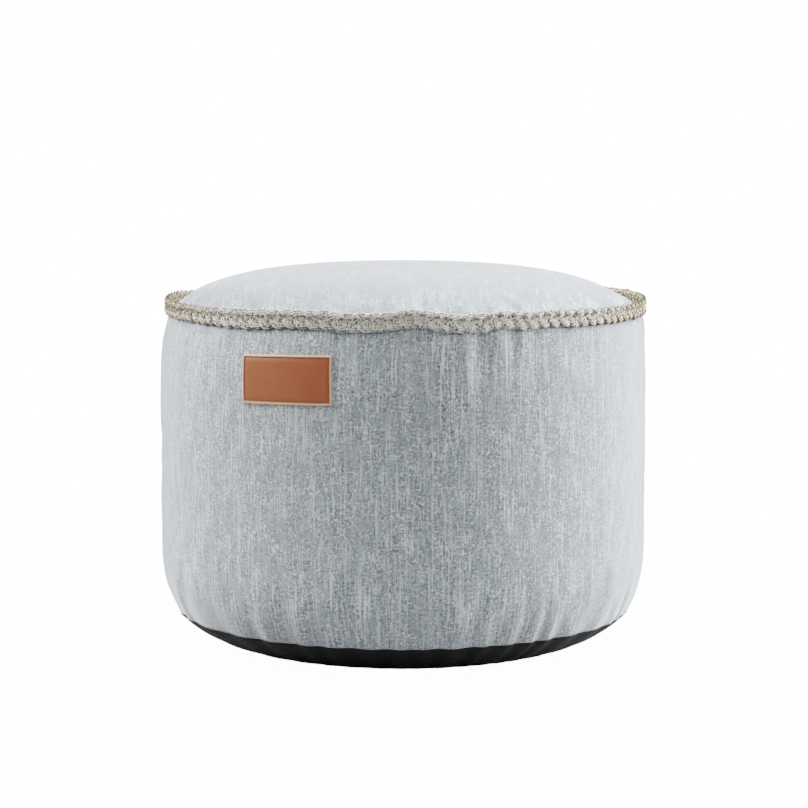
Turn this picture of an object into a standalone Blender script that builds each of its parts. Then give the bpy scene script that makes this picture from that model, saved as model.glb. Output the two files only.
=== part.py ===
"""A drum-shaped bean bag footstool in light melange cloth.

The pieces are a filled drum, a crowned panel over its top, a plaited cord round the top seam,
a dished panel of black cloth under its foot, and a plain leather patch on its side.

Metres, +Z up. The origin is on the floor under the middle of the drum. The front, with the patch
on its left, faces -Y. An azimuth is in degrees from the front, and grows towards +X.
"""

import math
from collections import namedtuple

import bpy

# Driving sizes: the drum, its cloth's thickness, the gap between pieces, and where points merge
DRUM_RADIUS = 0.250
DRUM_HEIGHT = 0.389
CLOTH = 0.002
GAP = 0.0004
MERGE = 0.00001

# Foot: where the black panel leaves the floor, and where it is sewn to the side panel
FLAT_RADIUS = 0.1415
FOOT_RADIUS = 0.232
FOOT_HEIGHT = 0.0335
FOOT_BEND = 2.37
FOOT_SEAM_GAP = 0.0011
HEEL_TOP = 0.100
HEEL_BEND = 2.2

# Top: where the wall turns in to the seam, the crown's edge there, and how square that edge is
SHOULDER_START = 0.302
SHOULDER_RADIUS = 0.244
SHOULDER_HEIGHT = 0.3436
NECK_RISE = 0.0025
CROWN_RADIUS = 0.2394
CROWN_EDGE = 0.3505
CROWN_BEND = 3.55

# Plaited cord: its middle line, its section, and the lumps that its strands make
BRAID_RADIUS = 0.245
BRAID_HEIGHT = 0.3525
BRAID_HALF_DEPTH = 0.006
BRAID_HALF_TALL = 0.0075
BRAID_SIDES = 6
BRAID_LUMPS = 108
BRAID_LUMP = 0.0008

# Leather patch: its middle, its size and its slight tilt
PATCH_AZIMUTH = -26.7
PATCH_HEIGHT = 0.2945
PATCH_WIDE = 0.095
PATCH_TALL = 0.045
PATCH_TILT = 1.4
PATCH_GAP = 0.0006
PATCH_COLUMNS = 8
PATCH_ROWS = 2

# Turned pieces: steps round them, and the rows of points along each stretch of their outline
AROUND = 84
CROWN_ROWS = (0.0, 0.085, 0.148, 0.192, 0.221, CROWN_RADIUS)
FOOT_ROWS = (0.0, 0.34, 0.60, 0.82, 1.0)
SHOULDER_ROWS = (0.0, 0.5, 0.85, 1.0)
WALL_ROWS = (0.262, 0.215, 0.160)
HEEL_ROWS = (1.0, 0.62, 0.34, 0.14, 0.0)

# The top seam is sewn a little to the right of the drum's middle, and it rises and sags.
# What lies within RING_HELD of it moves with it, and what is past RING_FREE stays.
RING_SHIFT = 0.0025
RING_HELD = 0.013
RING_FREE = 0.045
Wave = namedtuple("Wave", "azimuth lift")
RING_WAVES = (
    Wave(-180, 0.0004),
    Wave(-157, -0.0016),
    Wave(-137, 0.0014),
    Wave(-113, 0.0002),
    Wave(-90, -0.0016),
    Wave(-52, -0.0004),
    Wave(-23, 0.0027),
    Wave(-6.5, -0.0014),
    Wave(3.6, 0.0038),
    Wave(14.2, -0.0008),
    Wave(24, 0.0022),
    Wave(39, -0.0006),
    Wave(56, 0.0003),
    Wave(90, -0.0016),
    Wave(118, 0.0012),
    Wave(141, -0.0010),
    Wave(180, 0.0004),
)

# Soft folds of the wall, below the top seam and above the foot's. A depth above zero stands out of
# the wall and one below zero sinks into it. They run out at FOLDS_FROM on the underside.
FOLDS_FROM = 0.195
FOLDS_FULL = 0.225
Fold = namedtuple("Fold", "azimuth half_width depth reach")
SEAM_FOLDS = (
    Fold(-34, 8, -0.0012, 0.070),
    Fold(-19, 6, 0.0008, 0.060),
    Fold(-14, 6, -0.0014, 0.075),
    Fold(4, 7, 0.0012, 0.070),
    Fold(12, 6, 0.0010, 0.070),
    Fold(18.5, 6, -0.0018, 0.080),
    Fold(23.5, 6, 0.0010, 0.070),
    Fold(31, 7, -0.0014, 0.070),
)
FOOT_FOLDS = (
    Fold(-35, 6, 0.0012, 0.045),
    Fold(-27, 6, -0.0022, 0.060),
    Fold(-19, 6, -0.0016, 0.055),
    Fold(4, 8, 0.0010, 0.050),
    Fold(16.5, 6, 0.0018, 0.070),
    Fold(21, 6, -0.0020, 0.060),
    Fold(26, 6, 0.0012, 0.050),
    Fold(33, 6, -0.0020, 0.060),
)
BACK_FROM = 48
BACK_TO = 312
BACK_FOLDS = 16
BACK_FOLD_DEPTH = 0.0013
BACK_FOLD_WIDTH = 7
BACK_FOLD_REACH = 0.060


def back_folds(phase):
    """Folds for the stretch round the back, in and out by turns and unevenly apart."""
    folds = []
    step = (BACK_TO - BACK_FROM) / (BACK_FOLDS - 1)
    for i in range(BACK_FOLDS):
        uneven = math.sin(2.3 * i + phase)
        depth = BACK_FOLD_DEPTH * (-1) ** i * (1 + 0.3 * uneven)
        azimuth = BACK_FROM + step * (i + 0.25 * uneven)
        folds.append(Fold(azimuth, BACK_FOLD_WIDTH, depth, BACK_FOLD_REACH * (1 + 0.2 * uneven)))
    return folds


def eased(t):
    """0 up to 1 as t goes from 0 to 1, level at both ends."""
    t = min(max(t, 0.0), 1.0)
    return t * t * (3 - 2 * t)


def ring_lift(azimuth):
    """How far the seam's ring rises at this azimuth, from -180 to 180."""
    for before, after in zip(RING_WAVES, RING_WAVES[1:]):
        if azimuth <= after.azimuth:
            share = eased((azimuth - before.azimuth) / (after.azimuth - before.azimuth))
            return before.lift + share * (after.lift - before.lift)
    return RING_WAVES[-1].lift


def folded(folds, azimuth, distance):
    """How far the folds move the wall out, at a distance up or down it from the seam they start at."""
    out = 0.0
    for fold in folds:
        aside = abs((azimuth - fold.azimuth + 180) % 360 - 180)
        if aside < fold.half_width:
            across = 0.5 + 0.5 * math.cos(math.pi * aside / fold.half_width)
            out += fold.depth * across * eased(1 - distance / fold.reach)
    return out


ALL_SEAM_FOLDS = list(SEAM_FOLDS) + back_folds(0.4)
ALL_FOOT_FOLDS = list(FOOT_FOLDS) + back_folds(1.9)


def settled(x, y, z):
    """Moves a point of the true turned drum to where the sewn and filled one has it."""
    radius = math.hypot(x, y)
    if radius < GAP:
        return x, y, z
    azimuth = math.degrees(math.atan2(x, -y))
    from_ring = math.hypot(radius - BRAID_RADIUS, z - BRAID_HEIGHT)
    held = 1 - eased((from_ring - RING_HELD) / (RING_FREE - RING_HELD))
    out = 0.0
    if z < SHOULDER_HEIGHT:
        below_seam = SHOULDER_HEIGHT - z
        out += eased(below_seam / RING_HELD) * folded(ALL_SEAM_FOLDS, azimuth, below_seam)
        out += folded(ALL_FOOT_FOLDS, azimuth, abs(z - FOOT_HEIGHT))
    out *= eased((radius - FOLDS_FROM) / (FOLDS_FULL - FOLDS_FROM))
    scale = 1 + out / radius
    return x * scale + held * RING_SHIFT, y * scale, z + held * ring_lift(azimuth)


def crown_height(radius):
    return CROWN_EDGE + (DRUM_HEIGHT - CROWN_EDGE) * (1 - (radius / CROWN_RADIUS) ** CROWN_BEND)


def crown_line():
    """(radius, height) down the top panel's upper face, from the middle to its edge."""
    return [(radius, crown_height(radius)) for radius in CROWN_ROWS]


def foot_line():
    """(radius, height) down the black panel's lower face, from its sewn edge to the middle."""
    line = []
    for t in reversed(FOOT_ROWS):
        radius = FLAT_RADIUS + (FOOT_RADIUS - FLAT_RADIUS) * t
        line.append((radius, FOOT_HEIGHT * t**FOOT_BEND))
    return line + [(0.0, 0.0)]


def wall_line():
    """(radius, height) down the side panel, from under the plaited cord to its gathered foot."""
    line = []
    for t in reversed(SHOULDER_ROWS):
        radius = DRUM_RADIUS - (DRUM_RADIUS - SHOULDER_RADIUS) * (1 - math.sqrt(1 - t * t))
        line.append((radius, SHOULDER_START + (SHOULDER_HEIGHT - SHOULDER_START) * t))
    line += [(DRUM_RADIUS, height) for height in WALL_ROWS]
    heel_bottom = FOOT_HEIGHT + FOOT_SEAM_GAP
    for t in HEEL_ROWS:
        drawn_in = (DRUM_RADIUS - FOOT_RADIUS) * (1 - t) ** HEEL_BEND
        line.append((DRUM_RADIUS - drawn_in, heel_bottom + (HEEL_TOP - heel_bottom) * t))
    return line


def inset(line, depth):
    """The line moved by depth to the inner side of the drum, which it goes round clockwise."""
    moved = []
    for i, (radius, height) in enumerate(line):
        before = line[max(i - 1, 0)]
        after = line[min(i + 1, len(line) - 1)]
        along = (after[0] - before[0], after[1] - before[1])
        length = math.hypot(*along)
        inner = radius + depth * along[1] / length
        moved.append((inner if radius > 0 else 0.0, height - depth * along[0] / length))
    return moved


def turned(name, line, steps, closed=False):
    """A mesh object: the line of (radius, height) turned about Z, with the Screw applied."""
    edges = [(i, i + 1) for i in range(len(line) - 1)]
    if closed:
        edges.append((len(line) - 1, 0))
    mesh = bpy.data.meshes.new(name)
    mesh.from_pydata([(radius, 0.0, height) for radius, height in line], edges, [])
    guide = bpy.data.objects.new(name + "_line", mesh)
    bpy.context.scene.collection.objects.link(guide)
    screw = guide.modifiers.new("Screw", "SCREW")
    screw.steps = steps
    screw.render_steps = steps
    screw.use_merge_vertices = True
    screw.merge_threshold = MERGE
    bpy.context.view_layer.update()
    graph = bpy.context.evaluated_depsgraph_get()
    made = bpy.data.meshes.new_from_object(guide.evaluated_get(graph))
    bpy.data.objects.remove(guide)
    bpy.data.meshes.remove(mesh)
    return bpy.data.objects.new(name, made)


def settle(piece):
    for vertex in piece.data.vertices:
        vertex.co = settled(*vertex.co)


def sheet_of_cloth(piece, thickness):
    """Gives an open surface its thickness, on its inner side."""
    solidify = piece.modifiers.new("Cloth", "SOLIDIFY")
    solidify.thickness = thickness
    solidify.offset = -1
    solidify.use_even_offset = True


def material(name, colour, roughness):
    """A Principled material, with no metal in it."""
    made = bpy.data.materials.new(name)
    made.use_nodes = True
    shader = made.node_tree.nodes["Principled BSDF"]
    shader.inputs["Base Color"].default_value = (*colour, 1.0)
    shader.inputs["Roughness"].default_value = roughness
    shader.inputs["Metallic"].default_value = 0.0
    return made


def finish(piece, collection, finish_material):
    piece.data.shade_smooth()
    piece.data.materials.clear()
    piece.data.materials.append(finish_material)
    collection.objects.link(piece)
    return piece


def make_drum_body(collection, cloth):
    """The filled drum: crown under the top panel, drawn-in seam, wall, gathered foot, flat bottom."""
    crown = inset(crown_line(), CLOTH + GAP)
    foot = inset(foot_line(), CLOTH + 1.5 * GAP)
    behind_braid = BRAID_RADIUS - BRAID_HALF_DEPTH * math.cos(math.pi / BRAID_SIDES) - GAP
    neck = [(behind_braid, crown[-1][1] - GAP), (behind_braid, SHOULDER_HEIGHT + NECK_RISE)]
    piece = turned("drum_body", crown + neck + wall_line() + foot, AROUND)
    settle(piece)
    return finish(piece, collection, cloth)


def make_top_panel(collection, cloth):
    piece = turned("top_panel", crown_line(), AROUND)
    settle(piece)
    sheet_of_cloth(piece, CLOTH)
    return finish(piece, collection, cloth)


def make_base_panel(collection, black_cloth):
    piece = turned("base_panel", foot_line(), AROUND)
    settle(piece)
    sheet_of_cloth(piece, CLOTH)
    return finish(piece, collection, black_cloth)


def make_braid_trim(collection, fibre):
    """The plaited cord: a ring whose upper and lower strands stand out of its front by turns."""
    section = []
    for side in range(BRAID_SIDES):
        angle = math.pi / 2 - 2 * math.pi * side / BRAID_SIDES
        radius = BRAID_RADIUS + BRAID_HALF_DEPTH * math.cos(angle)
        section.append((radius, BRAID_HEIGHT + BRAID_HALF_TALL * math.sin(angle)))
    piece = turned("braid_trim", section, 2 * BRAID_LUMPS, closed=True)
    for vertex in piece.data.vertices:
        x, y, z = vertex.co
        radius = math.hypot(x, y)
        step = round(math.atan2(x, -y) / math.pi * BRAID_LUMPS)
        upper = z > BRAID_HEIGHT
        if radius > BRAID_RADIUS - GAP and upper == (step % 2 == 0):
            scale = 1 + BRAID_LUMP / radius
            vertex.co = (x * scale, y * scale, z)
    settle(piece)
    return finish(piece, collection, fibre)


def make_leather_patch(collection, leather):
    """A flat rectangle bent round the wall, a little off level."""
    mesh = bpy.data.meshes.new("leather_patch")
    points = []
    faces = []
    tilt = math.radians(PATCH_TILT)
    for row in range(PATCH_ROWS + 1):
        for column in range(PATCH_COLUMNS + 1):
            along = PATCH_WIDE * (column / PATCH_COLUMNS - 0.5)
            up = PATCH_TALL * (row / PATCH_ROWS - 0.5)
            turn = math.radians(PATCH_AZIMUTH)
            turn += (along * math.cos(tilt) - up * math.sin(tilt)) / DRUM_RADIUS
            height = PATCH_HEIGHT + up * math.cos(tilt) + along * math.sin(tilt)
            radius = DRUM_RADIUS + CLOTH + PATCH_GAP
            points.append((radius * math.sin(turn), -radius * math.cos(turn), height))
    for row in range(PATCH_ROWS):
        for column in range(PATCH_COLUMNS):
            corner = row * (PATCH_COLUMNS + 1) + column
            above = corner + PATCH_COLUMNS + 1
            faces.append((corner, corner + 1, above + 1, above))
    mesh.from_pydata(points, [], faces)
    piece = bpy.data.objects.new("leather_patch", mesh)
    settle(piece)
    sheet_of_cloth(piece, CLOTH)
    return finish(piece, collection, leather)


def main():
    for old in list(bpy.data.objects):
        bpy.data.objects.remove(old)
    collection = bpy.data.collections.new("bean_bag_footstool")
    bpy.context.scene.collection.children.link(collection)
    cloth = material("melange_upholstery_cloth", (0.45, 0.49, 0.52), 0.95)
    make_drum_body(collection, cloth)
    make_top_panel(collection, cloth)
    make_base_panel(collection, material("black_base_cloth", (0.012, 0.012, 0.013), 0.6))
    make_braid_trim(collection, material("natural_fibre_plait", (0.42, 0.39, 0.32), 0.9))
    make_leather_patch(collection, material("tan_leather", (0.34, 0.13, 0.06), 0.5))


main()
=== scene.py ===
"""The looks of a drum-shaped bean bag footstool: melange cloth over a bead filling, a crowned top,
a plaited cord round the top seam, a plain leather patch and a black gathered base.

Metres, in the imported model's frame: +Z up, the front and its patch towards -Y. An azimuth is in
degrees from the front and grows towards +X. Every colour is an sRGB hex value.
"""

import math

import bpy
import numpy as np
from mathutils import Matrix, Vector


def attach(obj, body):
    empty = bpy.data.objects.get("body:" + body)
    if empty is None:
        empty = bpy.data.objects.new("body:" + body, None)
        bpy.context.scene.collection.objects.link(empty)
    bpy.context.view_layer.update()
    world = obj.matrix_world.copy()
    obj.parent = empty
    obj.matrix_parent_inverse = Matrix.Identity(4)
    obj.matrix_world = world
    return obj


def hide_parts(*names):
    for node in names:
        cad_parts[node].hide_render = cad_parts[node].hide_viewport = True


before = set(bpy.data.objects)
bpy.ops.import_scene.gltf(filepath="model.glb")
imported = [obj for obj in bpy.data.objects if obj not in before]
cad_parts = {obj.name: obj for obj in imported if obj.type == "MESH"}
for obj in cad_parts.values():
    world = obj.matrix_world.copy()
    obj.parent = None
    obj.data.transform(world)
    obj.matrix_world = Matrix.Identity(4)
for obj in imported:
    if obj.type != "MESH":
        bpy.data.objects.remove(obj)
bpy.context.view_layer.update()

# ---------------------------------------------------------------------------------------------
# Filled drum. One round bag of upholstery cloth packed with beads: its side panel is a straight
# tube, cut longer round than both of its seams, so it is eased into soft flutes under the top
# seam and gathered into sharper creases at the foot. The beads push it out to a full drum.
# ---------------------------------------------------------------------------------------------
DRUM_RADIUS = 0.250
SHOULDER_START = 0.255
SHOULDER_RADIUS = 0.2437
SHOULDER_HEIGHT = 0.3436
SHOULDER_BEND = 3.0
NECK_RADIUS = 0.2394
FOOT_RADIUS = 0.232
FOOT_HEIGHT = 0.0335
FLAT_RADIUS = 0.1415
FOOT_BEND = 2.37
HEEL_TOP = 0.100
HEEL_BEND = 2.2
CROWN_RADIUS = 0.2394
CROWN_EDGE = 0.3505
CROWN_TOP = 0.389
CROWN_BEND = 4.1
CLOTH = 0.002
# the filling keeps clear of the panels that close it: of the base, of the crown, and of the
# crown's edge, where the drum has a short neck up through the seam
UNDER_CLOTH = 0.0026
UNDER_CROWN = 0.0005
NECK_DROP = 0.0004
NECK_FOOT = 0.0025
# the side panel ends this far above the base's edge
SEAM_GAP = 0.0008

# the plaited cord's ring, which is sewn on a little off true and takes the cloth near it along
BRAID_RADIUS = 0.2455
BRAID_HEIGHT = 0.3525
RING_SHIFT = 0.0025
RING_HELD = 0.013
RING_FREE = 0.045

# the leather patch, which keeps the cloth under it flat
PATCH_AZIMUTH = -27.0
PATCH_HEIGHT = 0.2955
PATCH_WIDE = 0.0985
PATCH_TALL = 0.0478
PATCH_EASE = 0.008

# the side panel as it is settled: points round it and rows down it, doubled afterwards, and the
# steps that each half of its outline is drawn in
ROUND = 360
WALL_ROWS = 60
OUTLINE_STEPS = 60
CAP_ROWS = 7

# The top seam round the drum: azimuth, how far the seam is lifted there, how wide the plait lies,
# how dark the plait's painted shade is, and how strong the painted highlight along its top edge is
RING_WAVES = (
    (-178, 0.0004, 1.00, 0.8, 0.3),
    (-158, -0.0036, 0.94, 1.0, 0.3),
    (-136, -0.0054, 1.04, 0.7, 0.3),
    (-118, -0.0054, 1.00, 0.9, 0.3),
    (-103, -0.0020, 0.96, 1.4, 0.2),
    (-86, -0.0018, 0.92, 1.8, 0.2),
    (-54, -0.0014, 0.97, 1.4, 0.5),
    (-39, -0.0007, 1.10, 1.3, 0.8),
    (-26, 0.0013, 1.03, 1.2, 0.9),
    (-19, 0.0015, 1.04, 1.0, 1.0),
    (-13.5, -0.0003, 1.05, 0.6, 1.0),
    (-7, 0.0001, 0.99, 0.45, 1.0),
    (2, 0.0042, 0.94, 0.45, 1.0),
    (12, -0.0009, 1.00, 0.45, 1.0),
    (17.5, -0.0006, 0.97, 0.45, 0.9),
    (22, 0.0019, 0.90, 0.45, 0.8),
    (29, -0.0005, 0.96, 0.7, 0.5),
    (35, 0.0006, 0.89, 0.9, 0.3),
    (42, -0.0010, 0.95, 1.1, 0.2),
    (60, -0.0019, 0.90, 1.3, 0.1),
    (86, -0.0020, 0.92, 1.6, 0.1),
    (103, -0.0026, 0.98, 0.8, 0.2),
    (119, -0.0036, 1.04, 1.0, 0.3),
    (141, -0.0020, 0.95, 0.7, 0.3),
    (162, -0.0012, 1.03, 0.9, 0.3),
)
LIFT, WIDE, DARK, TOP_LIGHT = range(4)

# Crests and valleys of the flutes under the top seam: azimuth, how far out, reach down from it
# before they fade. Close under the seam the stitches hold them back to this share.
FLUTES_AT_SEAM = 0.6
SEAM_FLUTES = (
    (-60, 0.0002, 0.050),
    (-52, -0.0005, 0.050),
    (-47, 0.0004, 0.050),
    (-42, -0.0003, 0.050),
    (-19, 0.0006, 0.060),
    (-14.8, -0.0024, 0.105),
    (-11.0, 0.0014, 0.115),
    (-6.8, -0.0007, 0.080),
    (-4.4, 0.0003, 0.050),
    (-0.5, -0.0004, 0.050),
    (5.4, 0.0004, 0.050),
    (8.0, -0.0004, 0.050),
    (13.8, 0.0021, 0.120),
    (17.2, -0.0038, 0.135),
    (21.6, 0.0016, 0.105),
    (25.0, -0.0020, 0.095),
    (27.2, 0.0010, 0.060),
    (30.5, -0.0014, 0.050),
    (33.2, 0.0004, 0.050),
    (36.8, -0.0006, 0.045),
    (42, 0.0003, 0.045),
    (47, -0.0004, 0.045),
)
# the same for the gathers over the foot's seam, with their reach up from it
FOOT_GATHERS = (
    (-58, 0.0012, 0.045),
    (-50, -0.0020, 0.055),
    (-43, 0.0014, 0.055),
    (-38.2, -0.0030, 0.060),
    (-34.0, 0.0018, 0.066),
    (-27.6, -0.0027, 0.066),
    (-24.0, 0.0015, 0.062),
    (-20.8, -0.0027, 0.062),
    (-17.2, 0.0017, 0.058),
    (-12.4, -0.0027, 0.056),
    (-7.4, 0.0023, 0.056),
    (-4.2, -0.0022, 0.056),
    (-0.6, 0.0020, 0.058),
    (2.2, -0.0004, 0.050),
    (5.0, 0.0022, 0.056),
    (8.2, -0.0027, 0.054),
    (12.2, 0.0026, 0.070),
    (17.4, -0.0037, 0.078),
    (19.4, 0.0010, 0.066),
    (22.2, -0.0023, 0.060),
    (26.4, 0.0017, 0.062),
    (28.8, -0.0027, 0.062),
    (32.6, 0.0015, 0.058),
    (34.8, -0.0025, 0.056),
    (37.2, 0.0013, 0.056),
    (40.6, -0.0027, 0.056),
    (45, 0.0012, 0.050),
    (50, -0.0014, 0.050),
)
# and for the puckers that the top seam pulls into the crown: azimuth, how far up, reach in from it
TOP_PUCKERS = (
    (-60, 0.0003, 0.035),
    (-44, -0.0010, 0.045),
    (-37, 0.0008, 0.045),
    (-33.5, -0.0008, 0.045),
    (-29.8, 0.0014, 0.052),
    (-25.6, -0.0014, 0.052),
    (-21.6, 0.0013, 0.044),
    (-18.4, -0.0010, 0.040),
    (-15.6, 0.0014, 0.042),
    (-12.8, -0.0018, 0.046),
    (-8.2, 0.0020, 0.056),
    (-4.9, -0.0021, 0.054),
    (-2.2, 0.0013, 0.048),
    (0.5, -0.0021, 0.050),
    (2.8, 0.0029, 0.064),
    (5.3, -0.0020, 0.058),
    (7.4, 0.0015, 0.050),
    (10.4, -0.0020, 0.046),
    (16.4, 0.0015, 0.046),
    (19.6, -0.0018, 0.044),
    (26.0, 0.0015, 0.056),
    (29.0, -0.0013, 0.054),
    (31.2, 0.0015, 0.050),
    (34.6, -0.0011, 0.044),
    (42, 0.0008, 0.040),
)
# the stretch round the back, which no view of the front shows, is folded in the same way
BACK_FROM = 50
BACK_TO = 298


def back_folds(seed, count, depth, reach):
    """Crests and valleys for the stretch round the back, by turns, and uneven like the front's."""
    random = np.random.default_rng(seed)
    steps = random.uniform(0.5, 1.5, count + 1)
    places = BACK_FROM + (BACK_TO - BACK_FROM) * np.cumsum(steps)[:-1] / steps.sum()
    sizes = depth * random.uniform(0.3, 1.3, count) * (-1.0) ** np.arange(count)
    return list(zip(places, sizes, reach * random.uniform(0.8, 1.3, count)))


def eased(t):
    """0 up to 1 as t goes from 0 to 1, level at both ends."""
    t = np.clip(t, 0, 1)
    return t * t * (3 - 2 * t)


def azimuth_of(x, y):
    """Degrees from the front, growing towards +X."""
    return np.degrees(np.arctan2(x, -y))


def seen_round(points):
    """The azimuths of points and their distances from the axis."""
    return azimuth_of(points[..., 0], points[..., 1]), np.hypot(points[..., 0], points[..., 1])


def read_round(table, azimuth):
    """A table's columns, after its azimuth, at azimuths round the drum, going smoothly from each
    row to the next."""
    knots = np.array(table)
    closing = knots[:1].copy()
    closing[0, 0] += 360
    knots = np.concatenate([knots, closing])
    at = (azimuth - knots[0, 0]) % 360 + knots[0, 0]
    after = np.clip(np.searchsorted(knots[:, 0], at, "right"), 1, len(knots) - 1)
    start, end = knots[after - 1], knots[after]
    share = eased((at - start[..., 0]) / (end[..., 0] - start[..., 0]))
    return start[..., 1:] + share[..., None] * (end - start)[..., 1:]


def folded(table, azimuth, distance):
    """How far a table's folds move the cloth, at a distance from the seam they start at."""
    size, reach = np.moveaxis(read_round(table, azimuth), -1, 0)
    return size * eased(1 - distance / reach)


ALL_FLUTES = list(SEAM_FLUTES) + back_folds(seed=3, count=54, depth=0.0010, reach=0.055)
ALL_GATHERS = list(FOOT_GATHERS) + back_folds(seed=5, count=62, depth=0.0016, reach=0.054)
ALL_PUCKERS = list(TOP_PUCKERS) + back_folds(seed=7, count=58, depth=0.0012, reach=0.046)


def under_patch(azimuth, z):
    """1 under the patch, down to 0 a little way round it."""
    aside = np.radians(np.abs(azimuth - PATCH_AZIMUTH)) * DRUM_RADIUS - PATCH_WIDE / 2
    above = np.abs(z - PATCH_HEIGHT) - PATCH_TALL / 2
    return eased(1 - np.maximum(aside, above) / PATCH_EASE)


def settled(points):
    """Moves points of the true turned drum to where the seams, sewn and pulled tight, have them."""
    x, y, z = points[..., 0], points[..., 1], points[..., 2]
    azimuth, radius = seen_round(points)
    from_ring = np.hypot(radius - BRAID_RADIUS, z - BRAID_HEIGHT)
    held = 1 - eased((from_ring - RING_HELD) / (RING_FREE - RING_HELD))
    lift = held * read_round(RING_WAVES, azimuth)[..., LIFT]
    return np.stack([x + held * RING_SHIFT, y, z + lift], -1)


def pushed(points, out):
    """Moves points straight out from the axis."""
    scale = 1 + out / np.maximum(np.hypot(points[..., 0], points[..., 1]), 0.01)
    return points * np.stack([scale, scale, np.ones_like(scale)], -1)


def side_folds(points):
    """The side panel with its flutes and gathers, flat under the patch."""
    azimuth, z = seen_round(points)[0], points[..., 2]
    below = np.maximum(SHOULDER_HEIGHT - z, 0)
    free = FLUTES_AT_SEAM + (1 - FLUTES_AT_SEAM) * eased(below / RING_HELD)
    flutes = free * folded(ALL_FLUTES, azimuth, below)
    gathers = folded(ALL_GATHERS, azimuth, np.maximum(z - FOOT_HEIGHT, 0))
    return pushed(points, (flutes + gathers) * (1 - under_patch(azimuth, z)))


def foot_folds(points):
    """The base with the gathers of its seam, which die out towards the part that it stands on."""
    azimuth, radius = seen_round(points)
    inner = (radius - FLAT_RADIUS) / (FOOT_RADIUS - FLAT_RADIUS)
    return pushed(points, folded(ALL_GATHERS, azimuth, np.zeros_like(radius)) * eased(inner))


def top_folds(points):
    """The crown with its puckers."""
    azimuth, radius = seen_round(points)
    inward = np.maximum(CROWN_RADIUS - radius, 0)
    up = eased(inward / RING_HELD) * folded(ALL_PUCKERS, azimuth, inward)
    return points + np.stack([0 * up, 0 * up, up], -1)


def rings(line, steps=ROUND):
    """Rows of points round the axis, one for each (radius, height): an array [row, step, xyz]."""
    turn = 2 * np.pi * np.arange(steps) / steps
    radius, height = np.array(line).T
    across = np.outer(radius, np.sin(turn))
    away = -np.outer(radius, np.cos(turn))
    return np.stack([across, away, np.repeat(height[:, None], steps, 1)], -1)


def round_piece(name, rows, top=None, bottom=None, cut=None):
    """A mesh object through rings of points, closed by one point at the top and at the bottom. cut
    says where each of those points lies in the cloth before it is sewn, for the weave to follow."""
    count, steps = rows.shape[:2]
    here = np.arange(steps)
    beside = (here + 1) % steps
    bands = steps * np.arange(count - 1)[:, None]
    quads = np.stack([bands + here, bands + steps + here, bands + steps + beside, bands + beside], -1)
    points = rows.reshape(-1, 3).tolist()
    faces = quads.reshape(-1, 4).tolist()
    cut_points = [] if cut is None else cut.reshape(-1, 3).tolist()
    if top is not None:
        faces += [(len(points), i, (i + 1) % steps) for i in range(steps)]
        points.append(top)
        cut_points.append([0, 0, 0] if cut is None else cut[0].mean(0))
    if bottom is not None:
        last = (count - 1) * steps
        faces += [(len(points), last + (i + 1) % steps, last + i) for i in range(steps)]
        points.append(bottom)
        cut_points.append([0, 0, 0] if cut is None else cut[-1].mean(0))
    mesh = bpy.data.meshes.new(name)
    mesh.from_pydata(points, [], faces)
    mesh.shade_smooth()
    if cut is not None:
        layer = mesh.attributes.new("cut", "FLOAT_VECTOR", "POINT")
        layer.data.foreach_set("vector", np.array(cut_points, np.float32).ravel())
    piece = bpy.data.objects.new(name, mesh)
    bpy.context.scene.collection.objects.link(piece)
    return piece


def doubled(rows):
    """Twice as many points each way: each new one lies on the cubic curve through the two points
    before it and the two after it."""
    ahead = np.roll(rows, -1, 1)
    between = (9 * (rows + ahead) - np.roll(rows, 1, 1) - np.roll(rows, -2, 1)) / 16
    rows = np.stack([rows, between], 2).reshape(len(rows), -1, 3)
    outer = np.concatenate([2 * rows[:1] - rows[1:2], rows, 2 * rows[-1:] - rows[-2:-1]])
    between = (9 * (outer[1:-2] + outer[2:-1]) - outer[:-3] - outer[3:]) / 16
    finer = np.empty((2 * len(rows) - 1, *rows.shape[1:]))
    finer[0::2] = rows
    finer[1::2] = between
    return finer


def along(line):
    """How far along the line each of its points lies."""
    return np.r_[0, np.cumsum(np.hypot(*np.diff(np.array(line), axis=0).T))]


def crown_line(rows):
    """(radius, height) from the middle of the crown out, closer together near the seam."""
    line = []
    for t in np.linspace(0, 1, rows):
        radius = CROWN_RADIUS * (1 - (1 - t) ** 1.5)
        height = CROWN_EDGE + (CROWN_TOP - CROWN_EDGE) * (1 - (radius / CROWN_RADIUS) ** CROWN_BEND)
        line.append((radius, height))
    return line[1:]


def foot_line(rows):
    """(radius, height) from the foot's seam in to its flat spot."""
    line = []
    for t in np.linspace(1, 0, rows):
        line.append((FLAT_RADIUS + (FOOT_RADIUS - FLAT_RADIUS) * t, FOOT_HEIGHT * t**FOOT_BEND))
    return line


def inset(line, depth):
    """The line moved to its inner side, which is on the left of its way down the outside."""
    moved = []
    for i, (radius, height) in enumerate(line):
        before, after = line[max(i - 1, 0)], line[min(i + 1, len(line) - 1)]
        run = (after[0] - before[0], after[1] - before[1])
        length = math.hypot(*run)
        moved.append((radius + depth * run[1] / length, height - depth * run[0] / length))
    return moved


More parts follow.
